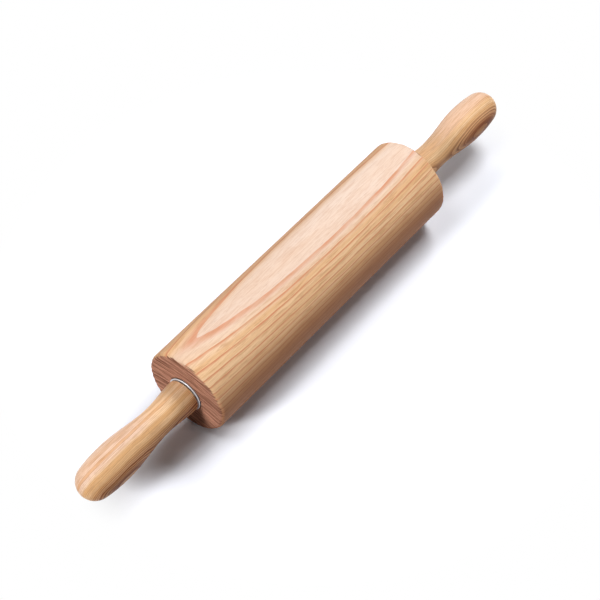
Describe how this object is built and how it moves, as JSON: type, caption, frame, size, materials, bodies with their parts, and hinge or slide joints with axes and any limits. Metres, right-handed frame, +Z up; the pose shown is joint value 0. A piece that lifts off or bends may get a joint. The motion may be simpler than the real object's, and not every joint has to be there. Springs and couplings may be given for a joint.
{
  "type": "rolling pin",
  "caption": "Wooden rolling pin: a round turned barrel that spins on ball bearings round a steel axle, with a turned wooden handle at each end.",
  "frame": {"origin": "the barrel's centre on its axis, midway between the two handles", "axes": "+X along the axle to the right-hand handle, +Y away from the baker in the rolling direction, +Z up"},
  "size_m": [0.4532, 0.065, 0.065],
  "materials": {
    "barrel_wood": "sanded and lightly oiled, long pink-brown grain",
    "handle_wood": "turned and satin lacquered, long grain",
    "cup_steel": "bright nickel-plated pressed steel",
    "bearing_steel": "ground bearing steel",
    "cage_nylon": "natural nylon",
    "shield_steel": "thin pressed steel",
    "axle_steel": "drawn bright steel",
    "zinc_steel": "zinc plated",
    "insert_brass": "turned brass"
  },
  "bodies": {
    "axle_and_handles": {"axle_rod": "axle_steel", "handle_left": "handle_wood", "handle_right": "handle_wood", "handle_insert_left": "insert_brass", "handle_insert_right": "insert_brass", "inner_race_left": "bearing_steel", "inner_race_right": "bearing_steel", "clamp_washer_left": "zinc_steel", "clamp_washer_right": "zinc_steel", "lock_nut_left": "zinc_steel", "lock_nut_right": "zinc_steel"},
    "roller": {"barrel": "barrel_wood", "bearing_cup_left": "cup_steel", "bearing_cup_right": "cup_steel", "outer_race_left": "bearing_steel", "outer_race_right": "bearing_steel", "outboard_shield_left": "shield_steel", "outboard_shield_right": "shield_steel", "inboard_shield_left": "shield_steel", "inboard_shield_right": "shield_steel"},
    "ball_ring_left": {"bearing_balls_left": "bearing_steel", "ball_cage_left": "cage_nylon"},
    "ball_ring_right": {"bearing_balls_right": "bearing_steel", "ball_cage_right": "cage_nylon"}
  },
  "joints": [
    {"name": "barrel_spin", "type": "hinge", "parent": "axle_and_handles", "child": "roller", "pos_m": [0, 0, 0], "axis": [1, 0, 0], "continuous": true},
    {"name": "ball_ring_left_spin", "type": "hinge", "parent": "axle_and_handles", "child": "ball_ring_left", "pos_m": [-0.1219, 0, 0], "axis": [1, 0, 0], "continuous": true},
    {"name": "ball_ring_right_spin", "type": "hinge", "parent": "axle_and_handles", "child": "ball_ring_right", "pos_m": [0.1219, 0, 0], "axis": [1, 0, 0], "continuous": true}
  ],
  "couplings": [
    {"joint": "ball_ring_left_spin", "follows": "barrel_spin", "ratio": 0.63333},
    {"joint": "ball_ring_right_spin", "follows": "barrel_spin", "ratio": 0.63333}
  ]
}
